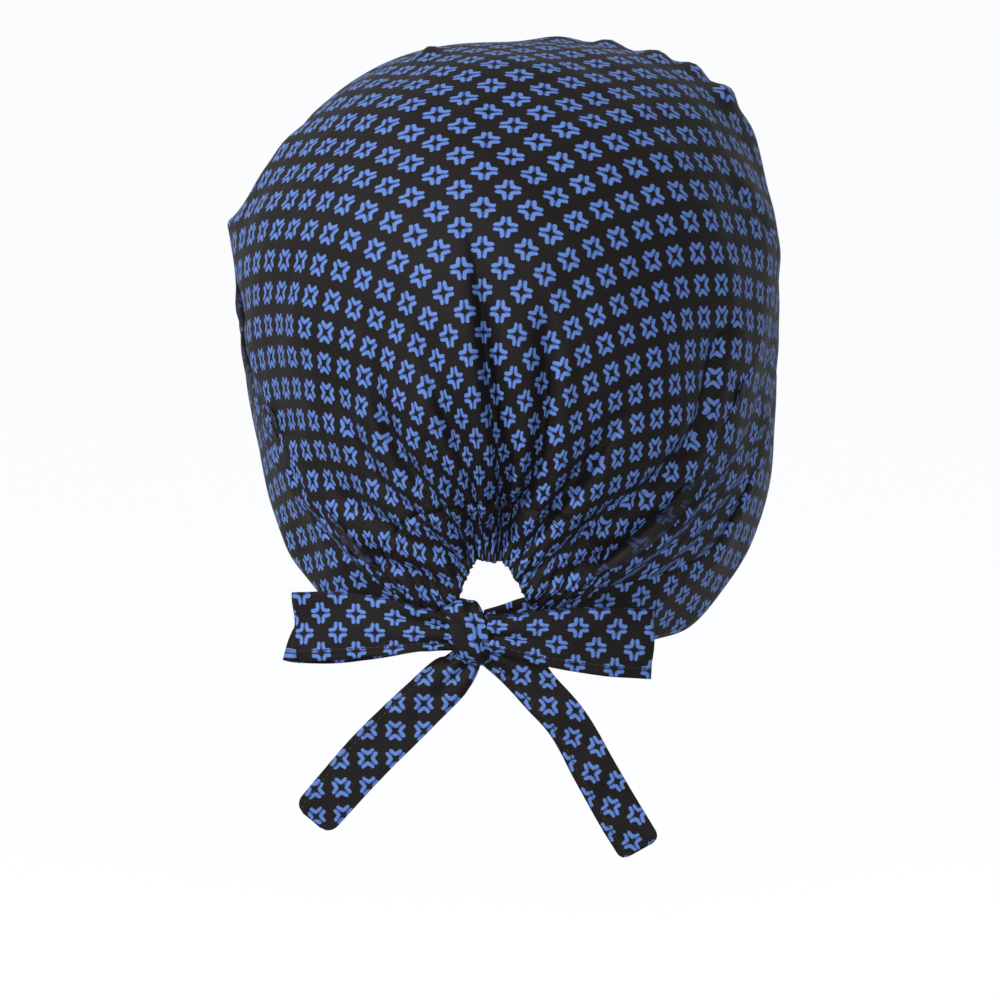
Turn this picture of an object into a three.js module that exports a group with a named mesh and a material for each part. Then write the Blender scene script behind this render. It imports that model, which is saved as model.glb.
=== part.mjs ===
// Tie-back surgical scrub cap in the form it has when worn. Millimetres, +Z up, the wearer looks along -Y
// and the wearer's left is +X. The origin is the top of the head, where the cap sits.
import * as THREE from 'three';

// ---------------------------------------------------------------- driving dimensions
const CLOTH = 1.5;            // thickness of a cap wall
const STRAP = 1.6;            // thickness of a tie, which is cloth folded in four
const GAP = 0.6;              // space left between the bow's pieces
const SEAM_GAP = 1.2;         // upright space left along the slanting seams, which is narrower square to them
const TIE_WIDTH = 17;         // width of a tie
const CROWN_ROWS = 22;        // steps from the top of the crown to its lower edge
const BAND_ROWS = 3;
const CASING_ROWS = 3;
const BAND_END = 17;          // turn from the middle of the back at which the band ends and the tie begins

// Level sections of the worn cap, from the top down: height, half breadth to the left and to the right, reach
// to the front and to the back. The cap sits a little fuller on the right.
const SECTIONS = [
  { z: 3, left: 0, right: 0, front: 0, back: 0 },
  { z: 2, left: 18, right: 27, front: 26, back: 24 },
  { z: -2.5, left: 36, right: 50, front: 48, back: 46 },
  { z: -12, left: 53, right: 67, front: 68, back: 66 },
  { z: -26, left: 69, right: 78, front: 82, back: 84 },
  { z: -44, left: 82, right: 86, front: 92, back: 98 },
  { z: -64, left: 89, right: 90, front: 98, back: 107 },
  { z: -88, left: 87.8, right: 90.5, front: 101, back: 111 },
  { z: -114, left: 83.6, right: 89, front: 102, back: 110 },
  { z: -138, left: 79.6, right: 88, front: 101, back: 105 },
  { z: -160, left: 76, right: 83, front: 99, back: 97 },
  { z: -180, left: 72, right: 76, front: 96, back: 88 },
  { z: -204, left: 65, right: 67, front: 92, back: 79 },
];

// The seam between crown and band and the band's lower hem, by the turn from the middle of the back in degrees.
const EDGES = [
  { turn: 0, seamLeft: -178, seamRight: -174, hemLeft: -192, hemRight: -192.5 },
  { turn: 15, seamLeft: -176, seamRight: -173.5, hemLeft: -191, hemRight: -192 },
  { turn: 30, seamLeft: -168, seamRight: -171.5, hemLeft: -187, hemRight: -191.5 },
  { turn: 45, seamLeft: -153.5, seamRight: -168, hemLeft: -178, hemRight: -190 },
  { turn: 60, seamLeft: -121, seamRight: -159.5, hemLeft: -166.5, hemRight: -186.5 },
  { turn: 75, seamLeft: -107, seamRight: -132, hemLeft: -149, hemRight: -170 },
  { turn: 90, seamLeft: -97, seamRight: -112, hemLeft: -141, hemRight: -149 },
  { turn: 110, seamLeft: -81, seamRight: -90, hemLeft: -134, hemRight: -137 },
  { turn: 135, seamLeft: -62, seamRight: -65, hemLeft: -126, hemRight: -126 },
  { turn: 160, seamLeft: -50, seamRight: -50, hemLeft: -120, hemRight: -120 },
  { turn: 180, seamLeft: -46, seamRight: -46, hemLeft: -118, hemRight: -118 },
];

// The gathered hem over the keyhole gap: its stitch line and its edge, by signed turn (left is positive).
const CASING = [
  { turn: -17, top: -169.8, edge: -171.8 },
  { turn: -13, top: -158.5, edge: -171.8 },
  { turn: -9, top: -149.5, edge: -170.2 },
  { turn: -6, top: -146.6, edge: -164.8 },
  { turn: -2, top: -145.8, edge: -161.8 },
  { turn: 2, top: -145.8, edge: -161.4 },
  { turn: 5, top: -146.6, edge: -165.6 },
  { turn: 8, top: -148.4, edge: -172.4 },
  { turn: 12, top: -156.0, edge: -174.6 },
  { turn: 17, top: -171.6, edge: -174.8 },
];

// Folds that fan up from the top of the keyhole gap: lean from upright (left is positive), depth, half width in
// degrees of lean and the length over which they fade.
const FAN_CENTRE = { x: -1, z: -176 };
const FAN_FOLDS = [
  { lean: 76, depth: 1.6, spread: 5, reach: 45 },
  { lean: 58, depth: 2.2, spread: 5, reach: 50 },
  { lean: 40, depth: 2.6, spread: 5, reach: 60 },
  { lean: 23, depth: 2.8, spread: 4.5, reach: 70 },
  { lean: 5, depth: 3.6, spread: 4, reach: 95 },
  { lean: -12, depth: 3.6, spread: 4, reach: 95 },
  { lean: -29, depth: 3.0, spread: 4.5, reach: 70 },
  { lean: -47, depth: 2.6, spread: 5, reach: 60 },
  { lean: -65, depth: 2.2, spread: 5, reach: 55 },
  { lean: -80, depth: 1.6, spread: 5, reach: 45 },
];

// Puffs of cloth that stand up behind the front seam and at the sides: signed turn, height, rise, half sizes.
const PUFFS = [
  { turn: 180, z: -20, rise: 5, turns: 16, heights: 26 },
  { turn: 150, z: -20, rise: 4, turns: 11, heights: 22 },
  { turn: 122, z: -24, rise: 4, turns: 9, heights: 20 },
  { turn: 96, z: -30, rise: 3.5, turns: 9, heights: 16 },
  { turn: 84, z: -56, rise: 5, turns: 12, heights: 8 },
  { turn: -152, z: -18, rise: 5, turns: 10, heights: 24 },
  { turn: -128, z: -18, rise: 5, turns: 9, heights: 20 },
  { turn: -104, z: -20, rise: 8, turns: 9, heights: 13 },
  { turn: -92, z: -48, rise: 3, turns: 10, heights: 14 },
  { turn: -80, z: -70, rise: 3, turns: 12, heights: 10 },
];

// ---------------------------------------------------------------- small helpers
const radians = (degrees) => THREE.MathUtils.degToRad(degrees);
const bell = (value) => Math.exp(-value * value);

// A smooth value from a table: Catmull-Rom between rows, with the row ends repeated.
function smooth(rows, key, column, at) {
  let row = 0;
  while (row < rows.length - 2 && at > rows[row + 1][key]) row += 1;
  const pick = (index) => rows[THREE.MathUtils.clamp(index, 0, rows.length - 1)];
  const [before, start, end, after] = [pick(row - 1), pick(row), pick(row + 1), pick(row + 2)];
  const span = end[key] - start[key];
  const t = THREE.MathUtils.clamp((at - start[key]) / span, 0, 1);
  const slopeStart = (end[column] - before[column]) / (end[key] - before[key] || span) * span;
  const slopeEnd = (after[column] - start[column]) / (after[key] - start[key] || span) * span;
  const a = 2 * t ** 3 - 3 * t ** 2 + 1;
  const b = t ** 3 - 2 * t ** 2 + t;
  const c = -2 * t ** 3 + 3 * t ** 2;
  const d = t ** 3 - t ** 2;
  return a * start[column] + b * slopeStart + c * end[column] + d * slopeEnd;
}

const SECTION_ROWS = SECTIONS.map((section, step) => ({ step, ...section }));

// The step down the section table at which the cap has the height z.
function stepAtHeight(z) {
  let [low, high] = [0, SECTIONS.length - 1];
  for (let i = 0; i < 40; i += 1) {
    const middle = (low + high) / 2;
    if (smooth(SECTION_ROWS, 'step', 'z', middle) > z) low = middle;
    else high = middle;
  }
  return (low + high) / 2;
}

const edgeHeight = (edge, turn) =>
  smooth(EDGES, 'turn', `${edge}${turn > 0 ? 'Left' : 'Right'}`, Math.abs(turn));

// ---------------------------------------------------------------- the surface of the worn cap
// How far a fold draws the cloth in and a puff pushes it out at a place on the cap.
function foldDepth(turn, x, z) {
  let out = 0;
  const [across, up] = [x - FAN_CENTRE.x, z - FAN_CENTRE.z];
  const distance = Math.hypot(across, up);
  const lean = THREE.MathUtils.radToDeg(Math.atan2(across, up));
  if (Math.abs(turn) < 85) {
    for (const fold of FAN_FOLDS) {
      const fade = bell(distance / fold.reach) * Math.min(1, distance / 8);
      out -= fold.depth * fade * bell((lean - fold.lean) / fold.spread);
    }
  }
  for (const puff of PUFFS) {
    const away = Math.abs(((turn - puff.turn + 540) % 360) - 180);
    out += puff.rise * bell(away / puff.turns) * bell((z - puff.z) / puff.heights);
  }
  return out;
}

// A point of the cap: step runs down the section table, turn is measured from the middle of the back.
function capPoint(step, turn, inset) {
  const angle = radians(turn);
  const z = smooth(SECTION_ROWS, 'step', 'z', step);
  const side = smooth(SECTION_ROWS, 'step', Math.sin(angle) > 0 ? 'left' : 'right', step);
  const reach = smooth(SECTION_ROWS, 'step', Math.cos(angle) > 0 ? 'back' : 'front', step);
  const flat = new THREE.Vector3(side * Math.sin(angle), reach * Math.cos(angle), 0);
  const drop = THREE.MathUtils.clamp(step / 3.5, 0, 1);
  const push = foldDepth(turn, flat.x, z) * drop - inset * drop;
  const outward = new THREE.Vector3(Math.sin(angle), Math.cos(angle), 0);
  const rise = (1 - drop) * (1 - inset) + (drop < 1 ? 0.35 * drop * foldDepth(turn, flat.x, z) : 0);
  return flat.addScaledVector(outward, push).add(new THREE.Vector3(0, 0, z + rise - (1 - drop)));
}

// ---------------------------------------------------------------- closed bodies from grids
function meshFrom(points, triangles) {
  const geometry = new THREE.BufferGeometry();
  const flat = points.flatMap((p) => [p.x, p.y, p.z]);
  geometry.setAttribute('position', new THREE.Float32BufferAttribute(flat, 3));
  geometry.setIndex(triangles);
  geometry.computeVertexNormals();
  return geometry;
}

const quad = (a, b, c, d) => [a, b, c, a, c, d];

// A wall with two skins over a grid of rows and columns. place(row, column, inset) gives its points. A ring
// closes on itself round the columns; a dome's first row is one point.
function wall(rows, columns, place, { ring = false, dome = false } = {}) {
  const points = [];
  const triangles = [];
  const perRow = ring ? columns : columns + 1;
  const skins = [0, CLOTH].map((inset) => {
    const grid = [];
    for (let row = 0; row <= rows; row += 1) {
      const line = [];
      for (let column = 0; column < perRow; column += 1) {
        if (dome && row === 0 && column > 0) line.push(line[0]);
        else line.push(points.push(place(row, column, inset)) - 1);
      }
      if (ring) line.push(line[0]);
      grid.push(line);
    }
    return grid;
  });
  const [outer, inner] = skins;
  for (let row = 0; row < rows; row += 1) {
    for (let column = 0; column < columns; column += 1) {
      const corners = (grid) =>
        [grid[row][column], grid[row + 1][column], grid[row + 1][column + 1], grid[row][column + 1]];
      const [a, b, c, d] = corners(outer);
      const [e, f, g, h] = corners(inner);
      triangles.push(...(dome && row === 0 ? [a, b, c, e, g, f] : [...quad(a, b, c, d), ...quad(e, h, g, f)]));
    }
  }
  for (let column = 0; column < columns; column += 1) {
    const [o, p] = [outer[rows][column], outer[rows][column + 1]];
    const [i, j] = [inner[rows][column], inner[rows][column + 1]];
    triangles.push(...quad(o, i, j, p));
    if (!dome) {
      const [q, r] = [outer[0][column], outer[0][column + 1]];
      const [k, l] = [inner[0][column], inner[0][column + 1]];
      triangles.push(...quad(q, r, l, k));
    }
  }
  if (!ring) {
    for (let row = 0; row < rows; row += 1) {
      const side = (column) =>
        [outer[row][column], outer[row + 1][column], inner[row + 1][column], inner[row][column]];
      const [a, b, c, d] = side(0);
      const [e, f, g, h] = side(columns);
      triangles.push(...quad(a, d, c, b), ...quad(e, f, g, h));
    }
  }
  // Columns run clockwise seen from above, so every triangle is turned round to face outwards.
  return meshFrom(points, triangles.reverse());
}

// ---------------------------------------------------------------- crown, band and casing
// Turns at which the crown has a column of points, closer together behind, where the folds are.
const BACK_STEP = 3;
const SIDE_STEP = 7.5;
const FINE_TO = 45;
const crownTurns = [];
for (let turn = -180; turn < 180; turn += Math.abs(turn + 0.1) < FINE_TO ? BACK_STEP : SIDE_STEP) {
  crownTurns.push(turn);
}

const casingAt = (column, turn) => smooth(CASING, 'turn', column, turn);

function crownFloor(turn) {
  const height = Math.abs(turn) < BAND_END ? casingAt('top', turn) : edgeHeight('seam', turn);
  return height + SEAM_GAP / 2;
}

function crownPanel() {
  const floors = crownTurns.map((turn) => stepAtHeight(crownFloor(turn)));
  const place = (row, column, inset) => capPoint(floors[column] * row / CROWN_ROWS, crownTurns[column], inset);
  return wall(CROWN_ROWS, crownTurns.length, place, { ring: true, dome: true });
}

function strip(turns, rows, topOf, bottomOf) {
  const tops = turns.map((turn) => stepAtHeight(topOf(turn) - SEAM_GAP / 2));
  const bottoms = turns.map((turn) => stepAtHeight(bottomOf(turn)));
  const place = (row, column, inset) => {
    const step = THREE.MathUtils.lerp(tops[column], bottoms[column], row / rows);
    return capPoint(step, turns[column], inset);
  };
  return wall(rows, turns.length - 1, place);
}

function frontBand() {
  const columns = 56;
  const turns = Array.from({ length: columns + 1 }, (_, i) => BAND_END + (360 - 2 * BAND_END) * i / columns);
  const signed = (turn) => (turn > 180 ? turn - 360 : turn);
  return strip(turns, BAND_ROWS, (turn) => edgeHeight('seam', signed(turn)),
    (turn) => edgeHeight('hem', signed(turn)));
}

function napeCasing() {
  const columns = 20;
  const end = BAND_END - 0.3;
  const turns = Array.from({ length: columns + 1 }, (_, i) => -end + 2 * end * i / columns);
  return strip(turns, CASING_ROWS, (turn) => casingAt('top', turn), (turn) => casingAt('edge', turn));
}

// ---------------------------------------------------------------- ties and bow
// A flat strap through stations. Each has its middle (x, y, z), its width and the lean of its width from
// upright, in degrees towards the wearer's left.
function strap(stations, steps, thickness = STRAP) {
  const route = new THREE.CatmullRomCurve3(stations.map((s) => new THREE.Vector3(s.x, s.y, s.z)),
    false, 'centripetal');
  const rows = stations.map((station, at) => ({ at, ...station }));
  const points = [];
  for (let i = 0; i <= steps; i += 1) {
    const t = i / steps;
    const at = t * (stations.length - 1);
    const middle = route.getPoint(t);
    const along = route.getTangent(t);
    const lean = radians(smooth(rows, 'at', 'lean', at));
    const half = smooth(rows, 'at', 'width', at) / 2;
    const across = new THREE.Vector3(Math.sin(lean), 0, Math.cos(lean));
    const face = new THREE.Vector3().crossVectors(along, across).normalize();
    across.crossVectors(face, along).normalize();
    for (const [u, v] of [[1, 0], [0.9, 1], [-0.9, 1], [-1, 0], [-0.9, -1], [0.9, -1]]) {
      points.push(middle.clone().addScaledVector(across, u * half).addScaledVector(face, v * thickness / 2));
    }
  }
  const around = 6;
  const triangles = [];
  for (let i = 0; i < steps; i += 1) {
    for (let k = 0; k < around; k += 1) {
      const [a, b] = [i * around + k, i * around + (k + 1) % around];
      triangles.push(...quad(a, b, b + around, a + around));
    }
  }
  const last = steps * around;
  for (let k = 1; k < around - 1; k += 1) {
    triangles.push(0, k + 1, k, last, last + k, last + k + 1);
  }
  return meshFrom(points, triangles);
}

// Where the knot sits and how big it is.
const KNOT = { x: 5.4, y: 91, z: -184.4, width: 14.5, depth: 13, height: 21.4 };
const KNOT_SIDE = KNOT.width / 2 + GAP;

// A loop of the bow: the strap leaves the knot on the side of the head, folds round at its end and comes back
// on the outside.
function bowLoop({ sign, length, drop, lift, endWidth, endLean, away }) {
  const start = KNOT.x + sign * KNOT_SIDE;
  const station = (share, out, width, lean) => ({
    x: start + sign * length * share,
    y: KNOT.y + 1.8 + out - away * share ** 1.5,
    z: KNOT.z + drop * share + 4 * lift * share * (1 - share),
    width,
    lean: lean * share,
  });
  const rows = [
    { share: 0.0, out: -1.6, width: 12 },
    { share: 0.15, out: -2.4, width: 14 },
    { share: 0.4, out: -3.4, width: 19 },
    { share: 0.7, out: -3.2, width: 21.5 },
    { share: 0.93, out: -2.0, width: endWidth },
    { share: 1.0, out: 0.2, width: endWidth },
    { share: 0.93, out: 2.6, width: endWidth },
    { share: 0.7, out: 4.2, width: 21.5 },
    { share: 0.4, out: 4.4, width: 19 },
    { share: 0.15, out: 3.0, width: 14 },
    { share: 0.0, out: 1.6, width: 12 },
  ];
  return strap(rows.map((row) => station(row.share, row.out, row.width, endLean)), 30);
}

const LOOPS = {
  left: { sign: 1, length: 52, drop: 0, lift: 1.6, endWidth: 22.4, endLean: -4, away: 12.5 },
  right: { sign: -1, length: 51, drop: -4.5, lift: 0, endWidth: 22.4, endLean: -3, away: 11.5 },
};

const TAILS = {
  left: [
    { x: 8.6, y: 91, z: -196.9, width: 9.5, lean: 44 },
    { x: 13, y: 91, z: -200.4, width: 14, lean: 45 },
    { x: 25.8, y: 89, z: -212.9, width: TIE_WIDTH - 1, lean: 45 },
    { x: 38.8, y: 86.5, z: -226, width: TIE_WIDTH - 1, lean: 45 },
    { x: 54, y: 83.5, z: -243.5, width: TIE_WIDTH - 2, lean: 42 },
  ],
  right: [
    { x: 1.2, y: 91, z: -196.9, width: 8.5, lean: -42 },
    { x: -4.4, y: 91.5, z: -200, width: 12.5, lean: -44 },
    { x: -17.6, y: 91, z: -206.5, width: TIE_WIDTH - 3.5, lean: -48 },
    { x: -25.7, y: 90, z: -215.5, width: TIE_WIDTH - 3.5, lean: -54 },
    { x: -35, y: 88, z: -230.4, width: TIE_WIDTH - 3, lean: -60 },
    { x: -47.6, y: 84, z: -253.2, width: TIE_WIDTH - 2.5, lean: -61 },
  ],
};

// The two leads: height and width where the band ends, and half way to the knot.
const LEADS = {
  left: { sign: 1, z: -183.6, width: 14.4, middleZ: -184, middleWidth: 13.6 },
  right: { sign: -1, z: -182.8, width: 17.8, middleZ: -182.4, middleWidth: 16.4 },
};

// The stretch of a tie from the end of the band to the knot. It lies against the nape.
function tieLead({ sign, z, width, middleZ, middleWidth }) {
  const bandEnd = capPoint(stepAtHeight(z), sign * (BAND_END - 0.4), CLOTH / 2);
  const x = KNOT.x + sign * KNOT_SIDE;
  const middle = THREE.MathUtils.lerp(bandEnd.x, x, 0.5);
  return strap([
    { x: bandEnd.x - sign * 0.3, y: bandEnd.y, z, width, lean: 0 },
    { x: middle, y: bandEnd.y + 1.6, z: middleZ, width: middleWidth, lean: 0 },
    { x, y: KNOT.y - 4.2, z: KNOT.z + 1, width: 12.5, lean: 0 },
  ], 8);
}

// The wrapped middle of the bow, a soft block that is fullest at mid height.
function knotBody() {
  const rings = [
    { z: 1.0, full: 0.55 }, { z: 0.86, full: 0.8 }, { z: 0.55, full: 0.97 }, { z: 0.1, full: 1.0 },
    { z: -0.4, full: 0.95 }, { z: -0.78, full: 0.84 }, { z: -1.0, full: 0.58 },
  ];
  const around = 16;
  const points = [];
  for (const ring of rings) {
    for (let k = 0; k < around; k += 1) {
      const angle = 2 * Math.PI * k / around;
      const square = (value) => Math.sign(value) * Math.abs(value) ** 0.7;
      points.push(new THREE.Vector3(
        KNOT.x + square(Math.cos(angle)) * ring.full * KNOT.width / 2,
        KNOT.y + square(Math.sin(angle)) * ring.full * KNOT.depth / 2,
        KNOT.z + ring.z * KNOT.height / 2));
    }
  }
  const triangles = [];
  for (let ring = 0; ring < rings.length - 1; ring += 1) {
    for (let k = 0; k < around; k += 1) {
      const [a, b] = [ring * around + k, ring * around + (k + 1) % around];
      triangles.push(...quad(a, a + around, b + around, b));
    }
  }
  const last = (rings.length - 1) * around;
  for (let k = 1; k < around - 1; k += 1) {
    triangles.push(0, k, k + 1, last, last + k + 1, last + k);
  }
  return meshFrom(points, triangles);
}

// ---------------------------------------------------------------- the cap
const group = new THREE.Group();

function addPiece(name, geometry) {
  const cotton = new THREE.MeshStandardMaterial({ color: 0x25242a, roughness: 0.72, metalness: 0 });
  const mesh = new THREE.Mesh(geometry, cotton);
  mesh.name = name;
  group.add(mesh);
}

addPiece('crown_panel', crownPanel());
addPiece('front_band', frontBand());
addPiece('nape_casing', napeCasing());
addPiece('tie_lead_left', tieLead(LEADS.left));
addPiece('tie_lead_right', tieLead(LEADS.right));
addPiece('bow_loop_left', bowLoop(LOOPS.left));
addPiece('bow_loop_right', bowLoop(LOOPS.right));
addPiece('knot', knotBody());
addPiece('tail_left', strap(TAILS.left, 16));
addPiece('tail_right', strap(TAILS.right, 16));

export default group;
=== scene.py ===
# %% [markdown]
# # A tie-back surgical scrub cap
# The cap is cut from printed black cotton. One big panel covers the top, back and sides of the head. It is
# gathered into a band in front and gathered again at the nape, over a small keyhole gap. The band runs on into
# two ties, and the ties make a bow. Everything here is thin cloth, so each piece starts as a flat grid, as the
# cloth does, is moved into its worn place in code, and gets its thickness from a modifier at the end.

# %% Load the frame
import math

import bpy
import numpy as np
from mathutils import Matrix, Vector
from mathutils.kdtree import KDTree


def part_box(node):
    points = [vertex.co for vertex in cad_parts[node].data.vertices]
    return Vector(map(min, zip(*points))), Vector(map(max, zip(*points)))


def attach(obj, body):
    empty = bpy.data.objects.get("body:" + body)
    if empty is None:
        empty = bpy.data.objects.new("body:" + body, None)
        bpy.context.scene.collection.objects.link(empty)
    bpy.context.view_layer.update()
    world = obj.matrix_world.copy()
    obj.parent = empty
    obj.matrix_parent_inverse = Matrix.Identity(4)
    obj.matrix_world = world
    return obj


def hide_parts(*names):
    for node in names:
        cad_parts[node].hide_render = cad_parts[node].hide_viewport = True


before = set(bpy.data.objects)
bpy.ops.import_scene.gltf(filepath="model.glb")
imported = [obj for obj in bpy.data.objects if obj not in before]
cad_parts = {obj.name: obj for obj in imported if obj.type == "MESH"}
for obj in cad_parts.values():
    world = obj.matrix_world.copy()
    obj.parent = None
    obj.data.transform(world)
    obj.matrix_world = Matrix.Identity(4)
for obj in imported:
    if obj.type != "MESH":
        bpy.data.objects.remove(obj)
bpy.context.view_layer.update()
MM = 0.001
scene = bpy.context.scene
print("pieces in the frame:", sorted(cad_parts))

# %% [markdown]
# ## Camera
# The cap is looked at from behind, almost level with it. A long lens from far off keeps the head round and the
# bow at its real size beside the cap.

# %% Camera
VIEW_TURN = math.radians(184)      # 180 is straight from behind
VIEW_RISE = math.radians(4)
VIEW_DISTANCE = 1.75
FIELD = 0.333                      # width that the picture covers at the middle of the cap
SENSOR = 36.0
target = Vector((0.0018, 0, -0.1490))
toward = Vector((
    math.sin(VIEW_TURN) * math.cos(VIEW_RISE),
    -math.cos(VIEW_TURN) * math.cos(VIEW_RISE),
    math.sin(VIEW_RISE),
))
camera_data = bpy.data.cameras.new("studio camera")
camera_data.sensor_width = SENSOR
camera_data.lens = SENSOR * VIEW_DISTANCE / FIELD
camera = bpy.data.objects.new("studio camera", camera_data)
camera.location = target + toward * VIEW_DISTANCE
camera.rotation_euler = (-toward).to_track_quat("-Z", "Y").to_euler()
scene.collection.objects.link(camera)
scene.camera = camera
print("lens", round(camera_data.lens), "mm at", VIEW_DISTANCE, "m")

# %% [markdown]
# ## The shape of the worn cap
# The smooth shape under the folds is a stack of level sections, each an oval with its own reach to the left,
# right, front and back. It is the same table as the frame's crown, so the cloth lies where the frame has it.

# %% Sections and edges of the cap
SECTIONS = np.array([
    # height, left, right, front, back, all in mm
    (3, 0, 0, 0, 0),
    (2.0, 18, 27, 26, 24),
    (-2.5, 36, 50, 48, 46),
    (-12, 53, 67, 68, 66),
    (-26, 69, 78, 82, 84),
    (-44, 82, 86, 92, 98),
    (-64, 89, 90, 98, 107),
    (-88, 87.8, 90.5, 101, 111),
    (-114, 83.6, 89, 102, 110),
    (-138, 79.6, 88, 101, 105),
    (-160, 76, 83, 99, 97),
    (-180, 72, 76, 96, 88),
    (-204, 65, 67, 92, 79),
])
EDGES = np.array([
    # turn from the middle of the back, seam left, seam right, hem left, hem right, in degrees and mm
    (0, -178, -174, -192, -192.5),
    (15, -176, -173.5, -191, -192),
    (30, -168, -171.5, -187, -191.5),
    (45, -153.5, -168, -178, -190),
    (60, -121, -159.5, -166.5, -186.5),
    (75, -107, -132, -149, -170),
    (90, -97, -112, -141, -149),
    (110, -81, -90, -134, -137),
    (135, -62, -65, -126, -126),
    (160, -50, -50, -120, -120),
    (180, -46, -46, -118, -118),
])
CASING = np.array([
    # signed turn, height of the stitch line, height of the edge over the gap
    (-17, -170.0, -181.5),
    (-13, -158.5, -179.5),
    (-10, -151.0, -175.5),
    (-7, -147.4, -168.6),
    (-4, -146.2, -165.2),
    (0, -145.6, -163.8),
    (3, -145.8, -164.4),
    (5, -146.6, -168.4),
    (7.5, -148.4, -175.4),
    (11, -155.0, -180.0),
    (17, -171.6, -183.0),
])
BAND_END = 17.0      # turn at which the band stops and the tie begins
# Thickness of the cloth in mm: one layer, the turned hem, the doubled band, a tie of four layers, the knot.
ONE_LAYER, HEM_THICK, BAND_THICK, TIE_THICK, KNOT_THICK = 0.55, 1.2, 1.1, 1.3, 1.0


def smooth(keys, values, at):
    """A smooth curve through the rows of a table, read at any place."""
    at = np.clip(np.asarray(at, float), keys[0], keys[-1])
    row = np.clip(np.searchsorted(keys, at, side="right") - 1, 0, len(keys) - 2)
    before, after = np.maximum(row - 1, 0), np.minimum(row + 2, len(keys) - 1)
    span = keys[row + 1] - keys[row]
    t = (at - keys[row]) / span
    slope_0 = (values[row + 1] - values[before]) / (keys[row + 1] - keys[before]) * span
    slope_1 = (values[after] - values[row]) / (keys[after] - keys[row]) * span
    return (
        (2 * t**3 - 3 * t**2 + 1) * values[row]
        + (t**3 - 2 * t**2 + t) * slope_0
        + (3 * t**2 - 2 * t**3) * values[row + 1]
        + (t**3 - t**2) * slope_1
    )


STEPS = np.arange(len(SECTIONS), dtype=float)
FINE_STEPS = np.linspace(0, STEPS[-1], 4000)
FINE_HEIGHTS = np.minimum.accumulate(smooth(STEPS, SECTIONS[:, 0], FINE_STEPS))


def step_at(height):
    return np.interp(-np.asarray(height, float), -FINE_HEIGHTS, FINE_STEPS)


def edge_height(turn, left_column):
    """Height of the seam (column 1) or the hem (column 3) at a signed turn."""
    left = smooth(EDGES[:, 0], EDGES[:, left_column], np.abs(turn))
    right = smooth(EDGES[:, 0], EDGES[:, left_column + 1], np.abs(turn))
    return np.where(np.asarray(turn) > 0, left, right)


def dome(step, turn):
    """A point of the smooth cap, in mm."""
    angle = np.radians(turn)
    across, along = np.sin(angle), np.cos(angle)
    column = {name: smooth(STEPS, SECTIONS[:, i], step) for i, name in enumerate(
        ("height", "left", "right", "front", "back"))}
    side = np.where(across > 0, column["left"], column["right"])
    reach = np.where(along > 0, column["back"], column["front"])
    return np.stack([side * across, reach * along, column["height"]], axis=-1)


print("the cap is", SECTIONS[:, 1].max() + SECTIONS[:, 2].max(), "mm broad")

# %% [markdown]
# ## Helpers for cloth
# A grid primitive gives the cloth its rows and columns, and its points are then moved to where the worn cloth
# is. Solidify turns the sheet into cloth with two sides: the printed face outside, its paler reverse inside.


# %% Cloth helpers
def surface_normals(points):
    """Outward normals of a grid of points, rows running down and columns running to the wearer's left."""
    down = np.gradient(points, axis=0)
    left = np.gradient(points, axis=1)
    normal = np.cross(left, down)
    return normal / np.maximum(np.linalg.norm(normal, axis=-1, keepdims=True), 1e-9)


def bell(value):
    return np.exp(-np.asarray(value) ** 2)


def ramp(low, high, value):
    t = np.clip((np.asarray(value, float) - low) / (high - low), 0, 1)
    return t * t * (3 - 2 * t)


def only(*objects):
    """Select these objects and nothing else, the first one active."""
    bpy.ops.object.select_all(action="DESELECT")
    for one in objects:
        one.select_set(True)
    bpy.context.view_layer.objects.active = objects[0]


def cloth_grid(name, places, flat=None):
    """A sheet with its points at places, a grid in mm. flat is each point's place on the cut cloth, in mm."""
    rows, columns = places.shape[:2]
    bpy.ops.object.select_all(action="DESELECT")
    bpy.ops.mesh.primitive_grid_add(x_subdivisions=columns - 1, y_subdivisions=rows - 1, size=1)
    sheet = bpy.context.object
    sheet.name = name
    # The primitive counts its points along x first, then along y. Columns run along x and rows along y, so a
    # sheet whose rows run down and whose columns run to the wearer's left faces outwards.
    sheet.data.vertices.foreach_set("co", (places * MM).reshape(-1))
    sheet.data.update()
    if flat is not None:
        set_flat(sheet, flat.reshape(-1, 2) * MM)
    return sheet


def set_flat(sheet, per_point):
    """Write the place on the cut cloth, in metres, into the sheet's UV map."""
    mesh = sheet.data
    layer = mesh.uv_layers[0] if mesh.uv_layers else mesh.uv_layers.new()
    layer.name = "cut cloth"
    corner = np.empty(len(mesh.loops), int)
    mesh.loops.foreach_get("vertex_index", corner)
    layer.data.foreach_set("uv", per_point[corner].astype(np.float32).reshape(-1))


def apply_all(sheet):
    only(sheet)
    for modifier in list(sheet.modifiers):
        bpy.ops.object.modifier_apply(modifier=modifier.name)


def thicken(sheet, thickness, offset=-1.0, rounds=0):
    """Give the sheet its thickness inwards, and soften it by subdivision where asked."""
    if rounds:
        soft = sheet.modifiers.new("soft", "SUBSURF")
        soft.levels = soft.render_levels = rounds
    solid = sheet.modifiers.new("thickness", "SOLIDIFY")
    solid.thickness = thickness * MM
    solid.offset = offset
    solid.use_even_offset = False
    solid.use_rim = True
    solid.material_offset = 1
    solid.material_offset_rim = 0
    apply_all(sheet)
    only(sheet)
    bpy.ops.object.shade_smooth()
    return sheet


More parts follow.
